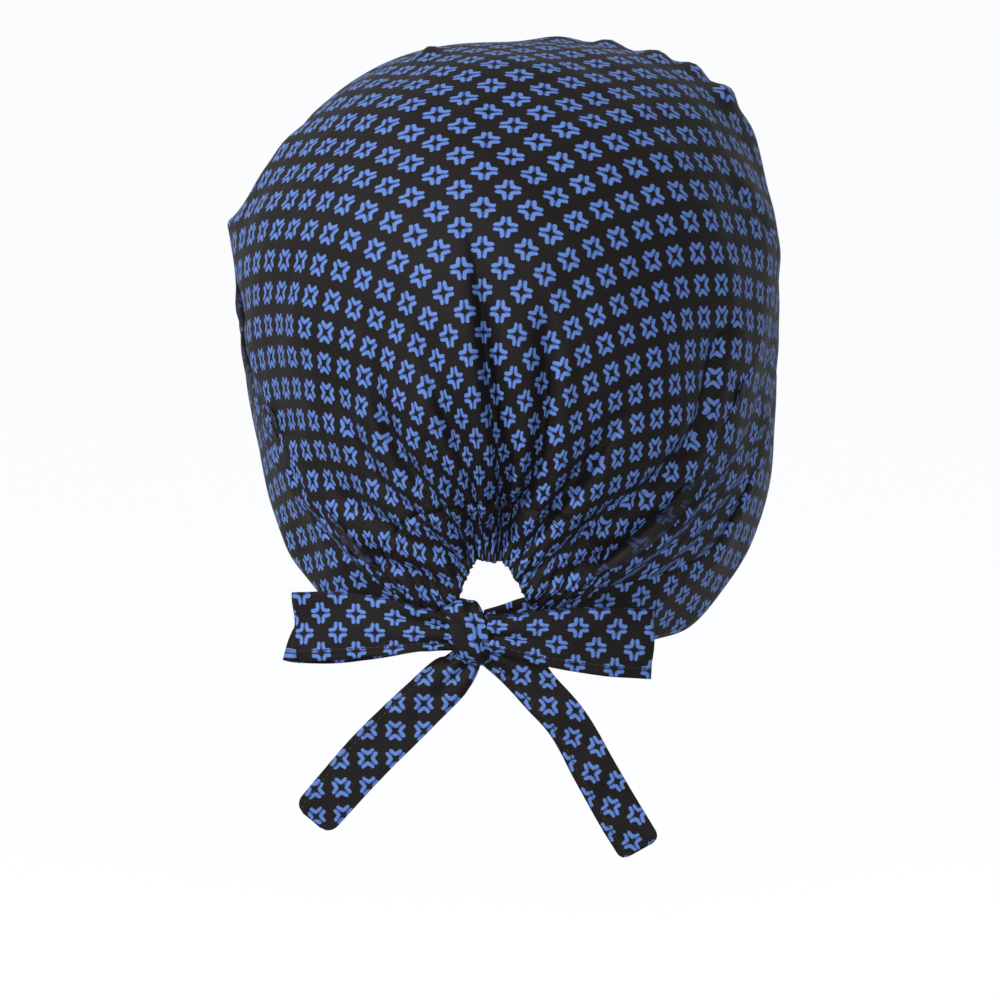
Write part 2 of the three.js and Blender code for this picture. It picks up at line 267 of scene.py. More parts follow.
# %% [markdown]
# ## Cotton, print and thread
# The cloth is a cotton sateen: its threads lie flat, so it has a soft sheen and no hard gloss. It is dyed black
# and printed in light blue with a small geometric star, repeated on two square lattices, one in the middle of
# the other. A node tree draws the star from its distance to two short strokes, in millimetres of cut cloth, so
# the print follows the cloth through every fold.

# %% Node helper and colours
MATERIALS = {}


def linear(hex_colour):
    """An sRGB colour written in hex, as the linear colour that shaders take."""
    parts = [int(hex_colour[i:i + 2], 16) / 255 for i in (1, 3, 5)]
    return tuple(p / 12.92 if p <= 0.04045 else ((p + 0.055) / 1.055) ** 2.4 for p in parts) + (1.0,)


def add_node(tree, kind, inputs=(), output=0, **settings):
    """Add one node with its settings, links and values, and return the output that is asked for."""
    made = tree.nodes.new(kind)
    for name, value in settings.items():
        setattr(made, name, value)
    for socket, value in (inputs.items() if isinstance(inputs, dict) else enumerate(inputs)):
        if isinstance(value, bpy.types.NodeSocket):
            tree.links.new(value, made.inputs[socket])
        elif value is not None:
            made.inputs[socket].default_value = value
    return made.outputs[output] if made.outputs else made


LATTICE = 12.9          # mm between stars of one row
STROKE = 0.55           # half width of a printed stroke, mm
STROKE_START = (1.06, 1.06)
STROKE_END = (0.80, 2.96)
PRINT_EDGE = 0.13       # mm over which the ink fades at a stroke's edge
WEAVE = 0.5             # mm from thread to thread as drawn


def star_masks(tree, flat):
    """How much of a place on the cloth is stroke, and how much is the dark line between two strokes."""
    def math_node(operation, *values, clamp=False):
        return add_node(tree, "ShaderNodeMath", values, operation=operation, use_clamp=clamp)

    millimetres = add_node(tree, "ShaderNodeVectorMath", {0: flat, 3: 1000.0}, operation="SCALE")
    wobble = add_node(tree, "ShaderNodeTexNoise", {"Vector": millimetres, "Scale": 0.9, "Detail": 1.0},
                      output=1, noise_dimensions="2D")
    centred = add_node(tree, "ShaderNodeVectorMath", {0: wobble, 1: (0.5, 0.5, 0.5)}, operation="SUBTRACT")
    shaken = add_node(tree, "ShaderNodeVectorMath", {0: centred, 1: (0.45, 0.45, 0), 2: millimetres},
                      operation="MULTIPLY_ADD")
    split = add_node(tree, "ShaderNodeSeparateXYZ", (shaken,)).node
    x = math_node("DIVIDE", split.outputs[0], LATTICE)
    y = math_node("DIVIDE", split.outputs[1], LATTICE)
    total, difference = math_node("ADD", x, y), math_node("SUBTRACT", x, y)
    from_total = math_node("SUBTRACT", total, math_node("ROUND", total))
    from_difference = math_node("SUBTRACT", difference, math_node("ROUND", difference))
    half = LATTICE / 2
    u = math_node("ABSOLUTE", math_node("MULTIPLY", math_node("ADD", from_total, from_difference), half))
    v = math_node("ABSOLUTE", math_node("MULTIPLY", math_node("SUBTRACT", from_total, from_difference), half))
    near, far = math_node("MINIMUM", u, v), math_node("MAXIMUM", u, v)
    # Distance to the stroke from STROKE_START to STROKE_END. The other seven strokes are its mirror images.
    run = (STROKE_END[0] - STROKE_START[0], STROKE_END[1] - STROKE_START[1])
    squared = run[0] ** 2 + run[1] ** 2
    p = math_node("SUBTRACT", near, STROKE_START[0])
    q = math_node("SUBTRACT", far, STROKE_START[1])
    along_p = math_node("MULTIPLY", p, run[0] / squared)
    along_q = math_node("MULTIPLY", q, run[1] / squared)
    along = math_node("ADD", along_p, along_q)
    share = math_node("MULTIPLY", along, 1.0, clamp=True)
    dx = math_node("SUBTRACT", p, math_node("MULTIPLY", share, run[0]))
    dy = math_node("SUBTRACT", q, math_node("MULTIPLY", share, run[1]))
    summed = math_node("ADD", math_node("MULTIPLY", dx, dx), math_node("MULTIPLY", dy, dy))
    distance = math_node("SQRT", summed)
    stroke = add_node(tree, "ShaderNodeMapRange", {
        "Value": distance, "From Min": STROKE + PRINT_EDGE, "From Max": STROKE - PRINT_EDGE},
        interpolation_type="SMOOTHSTEP")
    inside = add_node(tree, "ShaderNodeMapRange", {"Value": near, "From Min": 0.95, "From Max": 0.55})
    root = add_node(tree, "ShaderNodeMapRange", {"Value": far, "From Min": 1.15, "From Max": 1.6})
    tip = add_node(tree, "ShaderNodeMapRange", {"Value": far, "From Min": 3.3, "From Max": 2.7})
    groove = math_node("MULTIPLY", inside, math_node("MULTIPLY", root, tip))
    return stroke, groove, millimetres


def cotton(name, black, blue, deep_blue, blue_share, sheen):
    """Printed cotton sateen, woven in a soft satin weave and rotary printed."""
    material = bpy.data.materials.new(name)
    material.use_nodes = True
    tree = material.node_tree
    tree.nodes.clear()
    flat = add_node(tree, "ShaderNodeUVMap", uv_map="cut cloth")
    stroke, groove, millimetres = star_masks(tree, flat)
    # The black dye takes up a little unevenly, over patches a few centimetres wide.
    patches = add_node(tree, "ShaderNodeTexNoise", {"Vector": millimetres, "Scale": 0.045, "Detail": 3.0})
    ground = add_node(tree, "ShaderNodeMix", {0: patches, 6: linear(black[0]), 7: linear(black[1])},
                      output=2, data_type="RGBA")
    # Ink sits on the tops of the threads, so it is flecked at the scale of two threads, 0.5 mm.
    flecks = add_node(tree, "ShaderNodeTexNoise", {"Vector": millimetres, "Scale": 1.6, "Detail": 3.0})
    ink = add_node(tree, "ShaderNodeMix", {0: flecks, 6: linear(blue[0]), 7: linear(blue[1])},
                   output=2, data_type="RGBA")
    lined = add_node(tree, "ShaderNodeMix", {
        0: add_node(tree, "ShaderNodeMath", (groove, 0.85 * blue_share), operation="MULTIPLY"),
        6: ground, 7: linear(deep_blue)}, output=2, data_type="RGBA")
    colour = add_node(tree, "ShaderNodeMix", {
        0: add_node(tree, "ShaderNodeMath", (stroke, blue_share), operation="MULTIPLY"),
        6: lined, 7: ink}, output=2, data_type="RGBA")
    # The weave, drawn at 0.5 mm, twice the real thread spacing, which is too fine to show.
    split = add_node(tree, "ShaderNodeSeparateXYZ", (millimetres,)).node
    threads = []
    for axis in (0, 1):
        turn = add_node(tree, "ShaderNodeMath", (split.outputs[axis], 2 * math.pi / WEAVE),
                        operation="MULTIPLY")
        threads.append(add_node(tree, "ShaderNodeMath", (turn,), operation="SINE"))
    weave = add_node(tree, "ShaderNodeMath", threads, operation="MULTIPLY")
    slubs = add_node(tree, "ShaderNodeTexNoise", {"Vector": millimetres, "Scale": 0.28, "Detail": 4.0})
    relief = add_node(tree, "ShaderNodeMath", (slubs, 6.0, weave), operation="MULTIPLY_ADD")
    bump = add_node(tree, "ShaderNodeBump", {"Strength": 0.35, "Distance": 0.00012, "Height": relief})
    surface = add_node(tree, "ShaderNodeBsdfPrincipled", {
        "Base Color": colour, "Roughness": 0.6, "IOR": 1.46, "Specular IOR Level": 0.075, "Normal": bump,
        "Sheen Weight": sheen, "Sheen Roughness": 0.45, "Sheen Tint": linear("#c9cbe0")})
    add_node(tree, "ShaderNodeOutputMaterial", (surface,))
    MATERIALS[name] = material
    return material


# Outside: deep black with light blue ink. Inside: the ink only shows through faintly.
FACE = cotton(
    "printed cotton sateen",
    ("#080606", "#0d0a0a"), ("#364a74", "#415a8c"), "#1c2c58", 1.0, 0.01)
REVERSE = cotton(
    "reverse of the printed cotton",
    ("#0d0b0b", "#131010"), ("#202c48", "#293654"), "#12182e", 0.55, 0.01)
print("materials:", list(MATERIALS))


def dress(sheet, face=None, back=None):
    sheet.data.materials.clear()
    sheet.data.materials.append(face or FACE)
    sheet.data.materials.append(back or REVERSE)


# %% [markdown]
# ## Crown panel and nape casing
# The panel's threads run up from the gathered hem at the nape, fan out over the back of the head and end in the
# seam of the band. The grid's columns do the same: they start at the top of the head, and half of them crowd
# together at the hem over the gap. A gather is then a furrow along a column, deep where the cloth is crowded
# and fading upwards.

# %% Columns and rows of the crown
FAN = 100.0                 # half of the turn whose cloth is gathered over the gap
COLUMN_TARGETS = np.array([
    # column, and the turn at which it reaches the lower edge, in degrees
    (0, 0), (30, 5.5), (60, 11), (85, 15), (100, 17), (120, 38), (140, 72), (160, 118), (180, 180),
], float)
fan_columns = np.linspace(-FAN, FAN, 341)
side_columns = np.linspace(FAN, 360 - FAN, 141)[1:-1]
column = np.concatenate([fan_columns, side_columns, [360 - FAN]])
column = np.where(column > 180.0001, column - 360, column)
column = np.unique(np.round(column, 6))
column = np.concatenate([[-180.0], column[(column > -179.99) & (column < 179.99)], [180.0]])
lower_turn = np.sign(column) * smooth(COLUMN_TARGETS[:, 0], COLUMN_TARGETS[:, 1], np.abs(column))

in_gap = np.abs(lower_turn) < BAND_END
stitch_height = smooth(CASING[:, 0], CASING[:, 1], lower_turn)
gap_height = smooth(CASING[:, 0], CASING[:, 2], lower_turn)
seam_height = np.where(in_gap, stitch_height, edge_height(lower_turn, 1))
hem_height = np.where(in_gap, gap_height, edge_height(lower_turn, 1) - 0.4)
CROWN_ROWS, CASING_ROWS = 92, 10
share = np.linspace(0, 1, CROWN_ROWS + 1) ** 0.92
step_crown = share[:, None] * step_at(seam_height)[None, :]
below = np.linspace(0, 1, CASING_ROWS + 1)[1:, None]
step_casing = step_at(seam_height)[None, :] * (1 - below) + step_at(hem_height)[None, :] * below
step_all = np.concatenate([step_crown, step_casing])
down_share = step_all / step_at(hem_height)[None, :]     # 0 at the top of the head, 1 at the lower edge
swing = np.clip(down_share, 0, 1) ** 2.5
turn_all = column[None, :] + (lower_turn - column)[None, :] * swing
smooth_crown = dome(step_all, turn_all)
print("crown grid", smooth_crown.shape)

# %% Furrows, puffs and tucks
CREASES = (
    # Depth and half width in mm, the side of the steep wall (1 is the wearer's left, 0 neither), the angle of
    # cloth that the furrow hides in degrees, and the line (x, z) of its bottom.
    (6.4, 2.2, 1, 4, (6.5, -50), (2.4, -66), (0.0, -84), (-1.8, -104), (-4.4, -126), (-5.0, -143),
     (-4.0, -160)),
    (5.8, 2.2, -1, 4, (-18.8, -72), (-21.2, -88), (-21.6, -104), (-20.1, -124), (-14.7, -142), (-8.7, -158)),
    (3.6, 2.4, 1, 4, (25, -80), (16.5, -102), (10.0, -122), (3.6, -140), (1.2, -158)),
    (4.6, 2.2, 1, 6, (43.5, -79), (36.7, -97), (34.8, -111), (30.6, -123), (25.0, -133), (16.9, -142),
     (10.0, -152), (6, -162)),
    (5.0, 2.2, 1, 3, (24.5, -114), (13.3, -135), (7.4, -146), (4.2, -160)),
    (4.4, 1.6, 0, 1, (1.5, -112), (-1.4, -136), (-2.2, -147), (-1.2, -160)),
    (4.6, 1.6, -1, 2, (-12.5, -106), (-9.8, -132), (-7.4, -145), (-6.0, -161)),
    (4.6, 2.0, -1, 2, (-27, -120), (-18.0, -142), (-11.4, -150), (-8.6, -163)),
    (5.2, 2.4, -1, 3, (-54, -104), (-40.2, -123), (-31.8, -136), (-22.8, -148), (-11.6, -164)),
    (3.8, 2.2, -1, 7, (-82.9, -74), (-78.2, -86), (-73.8, -95), (-72.0, -107), (-68.1, -120), (-61.0, -131),
     (-48.4, -143), (-33.1, -154), (-14.0, -168)),
    (2.4, 2.4, -1, 0, (-77.6, -133), (-66.8, -144), (-54.6, -153), (-39.0, -162), (-18.0, -169)),
    (3.6, 2.6, 1, 0, (62, -130), (47.0, -145), (30.3, -154), (14.3, -162), (8.6, -170)),
    (3.0, 2.6, 1, 4, (54, -96), (45, -118), (36, -136), (22, -150), (9.4, -166)),
    (2.4, 2.2, 1, 0, (50, -160), (38, -162), (26, -167), (12, -172)),
    (1.8, 1.5, 1, 0, (-71.2, -38.3), (-77.2, -45.4), (-84, -53.6), (-87.5, -60)),
)
TOP_PUFFS = (
    # place across and behind the top of the head, half sizes and rise, in mm
    (23, 27, 3.5, 6, 2.2),
    (-18, 5, 10, 8, 2.2),
    (-34, 2, 5.5, 7, 2.8),
    (-50, 8, 5, 8, 2.4),
    (-61, 6, 4.5, 8, 3.2),
    (-71, 8, 3.5, 8, 4.2),
    (-20, -42, 13, 22, 4.5),
    (-39, -40, 7, 20, 5.0),
    (-54, -36, 6.5, 18, 6.0),
    (-68, -28, 5.5, 15, 6.5),
    (3, -46, 11, 20, 1.6),
    (26, -40, 5, 18, 2.6),
    (44, -36, 8, 18, 2.6),
    (62, -30, 7, 15, 3.5),
)
GATHERS = 22                # small gathers along the casing
PUCKER = 0.55               # height of the puckers at the band's seam, mm
DART_FIRST, DART_EVERY = 112, 8     # first column with a front dart, and columns from one to the next
DART_ANGLE = 6              # degrees of cloth that one front dart hides
DART_FROM = 45              # mm from the top of the head at which the front darts open


def soft_noise(points, size, seed):
    """A smooth random height over space, from a few slanted waves of about one wavelength."""
    draw = np.random.default_rng(seed)
    total = np.zeros(points.shape[:-1])
    waves = 14
    for _ in range(waves):
        direction = draw.normal(size=3)
        direction *= 2 * np.pi / (size * draw.uniform(0.7, 1.5)) / np.linalg.norm(direction)
        total += np.sin(points @ direction + draw.uniform(0, 2 * np.pi))
    return total / np.sqrt(waves / 2)


def on_back(x, z):
    """The point of the smooth cap at the back of the head that has this x and z, in mm."""
    step = step_at(z)
    side = np.where(x > 0, smooth(STEPS, SECTIONS[:, 1], step), smooth(STEPS, SECTIONS[:, 2], step))
    return dome(step, np.degrees(np.arcsin(np.clip(x / side, -0.999, 0.999))))


def lined_up(points, line, count=60):
    """For each point, its distance to a line on the back of the cap, the side it is on, and how far along."""
    line = np.asarray(line, float)
    keys = np.arange(len(line), dtype=float)
    at = np.linspace(0, keys[-1], count)
    route = on_back(smooth(keys, line[:, 0], at), smooth(keys, line[:, 1], at))
    nearest = np.full(points.shape[:2], np.inf)
    share, side = np.zeros(points.shape[:2]), np.zeros(points.shape[:2])
    for number, (start, end) in enumerate(zip(route[:-1], route[1:])):
        run = end - start
        away = points - start
        t = np.clip((away @ run) / (run @ run), 0, 1)
        away = away - t[..., None] * run
        distance = np.linalg.norm(away, axis=-1)
        closer = distance < nearest
        nearest = np.where(closer, distance, nearest)
        share = np.where(closer, (number + t) / (count - 1), share)
        side = np.where(closer, away[..., 0] * -run[2] + away[..., 2] * run[0], side)
    return nearest * np.sign(side), share


def fold_crown(points, hidden=False):
    """Fold the smooth panel as it looks, or, with hidden, fold away the cloth that its darts swallow."""
    normal = surface_normals(points)
    sideways = np.gradient(points, axis=1)
    direction = sideways / np.maximum(np.linalg.norm(sideways, axis=-1, keepdims=True), 1e-9)
    spacing = np.maximum(np.linalg.norm(sideways, axis=-1) / np.gradient(column)[None, :], 0.05)
    height = np.zeros(points.shape[:2])
    for depth, width, steep, angle, *line in CREASES:
        distance, share = lined_up(points, line)
        if hidden:
            # A dart: what it hides grows evenly from nothing at its upper end, as in a wedge folded away.
            reach = np.linalg.norm(np.diff(np.asarray(line, float), axis=0), axis=1).sum()
            narrow = np.maximum(0.5, 0.5 * spacing)
            height -= math.radians(angle) / 2 * share * reach * bell(distance / narrow)
            continue
        strength = ramp(0.0, 0.5, share) * (1 - 0.3 * ramp(0.85, 1.0, share))
        # One wall of a gather is steep and the other rises slowly to the next ridge.
        wall = np.where(distance * steep > 0, 0.62 * width, (1.0 if steep == 0 else 1.9) * width)
        height -= strength * depth * (0.85 * bell(distance / wall) + 0.3 * bell(distance / (3.6 * width)))
        ridge = bell((distance * steep - 2.2 * width) / (1.6 * width))
        height += 0.28 * depth * strength * ridge * abs(steep)
    # Small gathers of the casing, with uneven spacing and reach.
    draw = np.random.default_rng(7)
    homes = np.linspace(-95, 95, GATHERS) + draw.uniform(-2.0, 2.0, GATHERS)
    for home in homes:
        depth, reach = draw.uniform(0.7, 1.3), draw.uniform(0.86, 0.93)
        distance = (column[None, :] - home) * spacing
        strength = ramp(reach, 0.97, down_share)
        height -= 1.1 * depth * strength * bell(distance / 0.8)
    # Puckers where the crown is gathered into the band.
    beyond = ramp(FAN - 4, FAN + 8, np.abs(column))[None, :]
    along = np.abs(column)[None, :]
    pucker = np.sin(along * 1.15 + 2.1 * np.sin(along * 0.37)) * 0.6 + 0.4 * np.sin(along * 2.3 + 1.0)
    puckered = ramp(0.80, 0.97, down_share) * (1 - 0.6 * ramp(0.98, 1.0, down_share))
    if not hidden:
        height += PUCKER * beyond * pucker * puckered
    if hidden:
        # The front seam gathers the panel too: darts that open evenly from high up down to the band.
        run_down = np.cumsum(np.linalg.norm(np.diff(points, axis=0, prepend=points[:1]), axis=-1), axis=0)
        for home in range(DART_FIRST, 180, DART_EVERY):
            for side in (1, -1):
                nearest = int(np.abs(column - side * home).argmin())
                from_start = np.clip(run_down[:, nearest] - DART_FROM, 0, None)
                height[:, nearest] -= math.radians(DART_ANGLE) / 2 * from_start
        return points + normal * height[..., None]
    # Puffs that stand behind the front seam.
    x, y, z = points[..., 0], points[..., 1], points[..., 2]
    rise = np.zeros(points.shape[:2])
    for px, py, wide, long, tall in TOP_PUFFS:
        rise = np.maximum(rise, tall * bell((x - px) / wide) * bell((y - py) / long))
    height += rise * ramp(-50, -25, z)
    # A pointed fold on the left and a broad one on the right, at the widest place.
    height += 5.0 * bell((turn_all - 88) / 14) * np.exp(-np.abs(z + 58) / 6.5)
    height += 2.0 * bell((turn_all + 86) / 16) * bell((z + 66) / 14)
    height += 2.5 * bell((turn_all + 92) / 9) * bell((z + 30) / 9)
    # Fine wrinkles run up from the gathers, and slack shows as soft hollows.
    along_thread = np.stack([np.broadcast_to(column[None, :] * 0.55, z.shape), 0.22 * z, 0 * z], axis=-1)
    lower = ramp(0.45, 0.8, down_share) * (1 - ramp(0.95, 1.0, down_share))
    height += 0.20 * lower * soft_noise(along_thread, 9, 5)
    for depth, size, seed, low, high, stop in ((0.22, 17, 4, 0.1, 0.3, 0.95), (0.55, 42, 3, 0.05, 0.2, 0.97)):
        fade = 1 - ramp(stop, 1.0, down_share)
        height += depth * soft_noise(points, size, seed) * ramp(low, high, down_share) * fade
    # Outside the gap the panel is sewn to the band, so its folds die out before the seam.
    sewn = ramp(BAND_END - 2, BAND_END + 5, np.abs(lower_turn))[None, :] * ramp(0.88, 0.975, down_share)
    height *= 1 - 0.93 * sewn
    return points + normal * height[..., None]


folded_crown = fold_crown(smooth_crown)
print("deepest furrow", round(float(np.linalg.norm(folded_crown - smooth_crown, axis=-1).max()), 1), "mm")

# %% [markdown]
# The panel is one piece of flat cloth. To find where each point lies on the cut cloth, a helper sheet is
# unwrapped with as little stretch as it can be, and then thrown away. In the helper each main fold over the gap
# is a dart, a wedge of cloth folded away inside, and so is each of an even row of gathers at the band's seam.
# The helper is cut open in the middle of the front, where a dome can't lie flat. The unwrap is turned so that
# the threads run upright at the middle of the back, and scaled to real millimetres, so that the print can be
# drawn on it. The helper has a third of the cloth's rows, and the rest are read in between.


# %% Unwrap helper
def weld(sheet):
    """Join the points that lie in one place: the top of the head, and the two ends of a ring."""
    only(sheet)
    bpy.ops.object.mode_set(mode="EDIT")
    bpy.ops.mesh.select_all(action="SELECT")
    bpy.ops.mesh.remove_doubles(threshold=1e-6)
    bpy.ops.object.mode_set(mode="OBJECT")


def kept(count, every):
    return np.unique(np.append(np.arange(0, count, every), count - 1))


def grid_area(places):
    """Area of a grid of cloth, in the square of its unit."""
    across, back = places[1:, 1:] - places[:-1, :-1], places[1:, :-1] - places[:-1, 1:]
    return np.linalg.norm(np.cross(across, back), axis=-1).sum() / 2


def read_between(flat, known, count):
    """Values along each row at count places, read between those at the known places."""
    return np.stack([np.stack([np.interp(np.arange(count), known, line) for line in flat[..., k]])
                     for k in (0, 1)], axis=-1)


def lay_flat(places, every, upright):
    """Where each point of a grid lies on the flat cloth, in mm. upright names two grid points, low and high."""
    rows = kept(places.shape[0], every[0])
    columns = kept(places.shape[1], every[1])
    coarse = places[np.ix_(rows, columns)]
    if np.allclose(coarse[:, 0], coarse[:, -1]):      # a ring is cut open in front
        coarse = coarse.copy()
        coarse[1:, -1, 0] += 0.02
    helper = cloth_grid("flat helper", coarse)
    weld(helper)
    only(helper)
    bpy.ops.object.mode_set(mode="EDIT")
    bpy.ops.mesh.select_all(action="SELECT")
    bpy.ops.uv.unwrap(method="MINIMUM_STRETCH", margin=0.0)
    bpy.ops.object.mode_set(mode="OBJECT")
    mesh = helper.data
    corner = np.empty(len(mesh.loops), int)
    mesh.loops.foreach_get("vertex_index", corner)
    read = np.empty(len(mesh.loops) * 2, np.float32)
    mesh.uv_layers[0].data.foreach_get("uv", read)
    at_point = np.zeros((len(mesh.vertices), 2))
    at_point[corner] = read.reshape(-1, 2)
    tree = KDTree(len(mesh.vertices))
    for number, vertex in enumerate(mesh.vertices):
        tree.insert(vertex.co, number)
    tree.balance()
    number = np.array([tree.find(place)[1] for place in (coarse * MM).reshape(-1, 3)])
    flat = at_point[number].reshape(coarse.shape[:2] + (2,))
    bpy.data.objects.remove(helper)
    real_area = grid_area(coarse)
    a, b = flat[1:, 1:] - flat[:-1, :-1], flat[1:, :-1] - flat[:-1, 1:]
    flat_area = (a[..., 0] * b[..., 1] - a[..., 1] * b[..., 0]).sum() / 2
    if flat_area > 0:
        flat[..., 0] *= -1
    flat = flat * math.sqrt(real_area / abs(flat_area))
    full = read_between(flat, columns, places.shape[1])
    full = read_between(full.transpose(1, 0, 2), rows, places.shape[0]).transpose(1, 0, 2)
    low, high = full[upright[0]], full[upright[1]]
    lean = math.atan2(*(high - low))
    turned = np.array([[math.cos(lean), math.sin(lean)], [-math.sin(lean), math.cos(lean)]])
    full = (full - low) @ turned
    return full, real_area


# %% Lay the crown flat
middle_column = int(np.abs(column).argmin())
flat_crown, crown_area = lay_flat(fold_crown(smooth_crown, hidden=True), (3, 1),
                                  ((62, middle_column), (30, middle_column)))
crown_cut = np.ptp(flat_crown.reshape(-1, 2), axis=0)
print("the crown is cut from", np.round(crown_cut), "mm, area", round(crown_area / 100), "cm2")

# %% [markdown]
# The casing is the turned hem of the panel, a second layer of cloth stitched down over the gap. It is the
# lowest rows of the same grid, made as a sheet of its own so that it can be thicker.

# %% Crown and casing
crown = cloth_grid("crown_panel_cloth", folded_crown[:CROWN_ROWS + 1], flat_crown[:CROWN_ROWS + 1])
weld(crown)
dress(crown)
thicken(crown, ONE_LAYER)
gap_columns = np.flatnonzero(in_gap)
casing_places = folded_crown[CROWN_ROWS:][:, gap_columns]
casing = cloth_grid("nape_casing_cloth", casing_places, flat_crown[CROWN_ROWS:][:, gap_columns])
dress(casing)
thicken(casing, HEM_THICK, offset=-0.5)

CASING_HEIGHT = 0.0155
casing_cut = (float(grid_area(casing_places) * MM * MM) / CASING_HEIGHT, CASING_HEIGHT)
print("crown faces", len(crown.data.polygons), "casing faces", len(casing.data.polygons))

# %% [markdown]
# ## Stitching
# The seams are lockstitched in black thread with about four stitches to the centimetre. Each stitch is a short
# rounded bead whose two ends dip into the cloth, so light catches its back, as it does on real thread.


# %% Stitch helper
STITCH = 2.3            # mm from one stitch to the next, a little over four to the centimetre
THREAD = 0.2            # half thickness of the thread, mm


def sewing_thread():
    material = bpy.data.materials.new("black polyester thread")
    material.use_nodes = True
    tree = material.node_tree
    tree.nodes.clear()
    place = add_node(tree, "ShaderNodeTexCoord", output=3)
    # Two plies twisted together show as a fine slanted ribbing.
    twist = add_node(tree, "ShaderNodeTexWave", {"Vector": place, "Scale": 900.0, "Distortion": 1.0},
                     output=1, bands_direction="DIAGONAL")
    bump = add_node(tree, "ShaderNodeBump", {"Strength": 0.5, "Distance": 0.00005, "Height": twist})
    surface = add_node(tree, "ShaderNodeBsdfPrincipled", {
        "Base Color": linear("#0e0d11"), "Roughness": 0.5, "Specular IOR Level": 0.2, "Normal": bump})
    add_node(tree, "ShaderNodeOutputMaterial", (surface,))
    MATERIALS[material.name] = material
    return material


THREAD_FINISH = sewing_thread()


def stitch_row(name, routes):
    """Stitches along routes, each a pair of arrays in mm: points of the cloth's surface and its normals."""
    points, faces = [], []
    sides, rings = 6, ((0.04, 0.35, -0.2), (0.22, 1.0, 0.0), (0.78, 1.0, 0.0), (0.96, 0.35, -0.2))
    for route, normals in routes:
        length = np.concatenate([[0], np.cumsum(np.linalg.norm(np.diff(route, axis=0), axis=1))])
        for number in range(int(length[-1] / STITCH)):
            reached = [(number + share) * STITCH for share, _, _ in rings]
            at = np.interp(reached, length, np.arange(len(length)))
            low, part = np.floor(at).astype(int), at % 1
            high = np.minimum(low + 1, len(route) - 1)
            middle = route[low] * (1 - part[:, None]) + route[high] * part[:, None]
            up = normals[low]
            along = (middle[-1] - middle[0]) / max(np.linalg.norm(middle[-1] - middle[0]), 1e-6)
            across = np.cross(along, up)
            base = len(points)
            for ring, (_, size, rise) in enumerate(rings):
                centre = middle[ring] + up[ring] * (rise + 0.05)
                for side in range(sides):
                    turn = 2 * math.pi * side / sides
                    points.append(centre + THREAD * size * (
                        math.cos(turn) * across[ring] + math.sin(turn) * up[ring]))
            for ring in range(len(rings) - 1):
                for side in range(sides):
                    after = (side + 1) % sides
                    a, b = base + ring * sides, base + (ring + 1) * sides
                    faces.append((a + side, b + side, b + after, a + after))
            faces.append(tuple(base + side for side in range(sides)))
            faces.append(tuple(base + (len(rings) - 1) * sides + side for side in reversed(range(sides))))
    mesh = bpy.data.meshes.new(name)
    mesh.from_pydata([tuple(point * MM) for point in points], [], faces)
    stitches = bpy.data.objects.new(name, mesh)
    scene.collection.objects.link(stitches)
    only(stitches)
    bpy.ops.object.mode_set(mode="EDIT")
    bpy.ops.mesh.select_all(action="SELECT")
    bpy.ops.mesh.normals_make_consistent(inside=False)
    bpy.ops.object.mode_set(mode="OBJECT")
    bpy.ops.object.shade_smooth()
    mesh.materials.append(THREAD_FINISH)
    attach(stitches, "root")
    print(name, "stitches:", len(faces) // (sides * (len(rings) - 1) + 2))
    return stitches


def row_of(places, row, lift):
    normals = surface_normals(places)[row]
    return places[row] + normals * lift, normals


stitch_row("nape_casing_stitches", [row_of(casing_places, 1, 0.75)])

# %% [markdown]
# ## Front band
# The band is a doubled strip, so it is a little thicker than the panel and lies just outside its gathered edge.
# It is tall over the forehead and narrow behind the ears.

# %% Front band
BAND_OUT = 0.7       # how far the doubled band stands out from the panel, mm
BAND_COLUMNS, BAND_ROWS = 420, 30
band_turn = np.linspace(BAND_END - 0.5, 360 - BAND_END + 0.5, BAND_COLUMNS + 1)
band_turn = np.where(band_turn > 180, band_turn - 360, band_turn)
band_share = np.linspace(0, 1, BAND_ROWS + 1)[:, None]
band_top = step_at(edge_height(band_turn, 1) + 1.2)[None, :]
band_hem = step_at(edge_height(band_turn, 3))[None, :]
band_step = band_top * (1 - band_share) + band_hem * band_share
band_smooth = dome(band_step, np.broadcast_to(band_turn, band_step.shape))
band_normal = surface_normals(band_smooth)
band_height = BAND_OUT + 0.5 * soft_noise(band_smooth, 34, 11) * ramp(0.0, 0.3, band_share)
# The seam draws the top edge in, and the gathers behind it print through as shallow puckers.
ripple = np.sin(np.abs(band_turn) * 1.15 + 2.1 * np.sin(np.abs(band_turn) * 0.37))[None, :]
band_height = band_height + 0.18 * ripple * (1 - ramp(0.0, 0.45, band_share))
band_height = band_height - 0.5 * (1 - ramp(0.0, 0.06, band_share))
band_height = band_height - 0.5 * ramp(0.93, 1.0, band_share)
band_places = band_smooth + band_normal * band_height[..., None]
front = BAND_COLUMNS // 2
flat_band, band_area = lay_flat(band_places, (3, 2), ((BAND_ROWS, front), (0, front)))
band_cut = np.ptp(flat_band.reshape(-1, 2), axis=0)
print("the band is cut from", np.round(band_cut), "mm, area", round(band_area / 100), "cm2")
band = cloth_grid("front_band_cloth", band_places, flat_band)
dress(band)
thicken(band, BAND_THICK)

# %% [markdown]
# ## Ties, loops and tails
# A tie is a strip folded into four layers and stitched along one edge, about 17 mm wide. Straps are modelled
# directly: a table gives the middle, the width and the lean of a few stations, and a smooth curve through them
# carries a grid. Where the knot pinches a strap, its width is taken up in pleats, so the print closes up too.


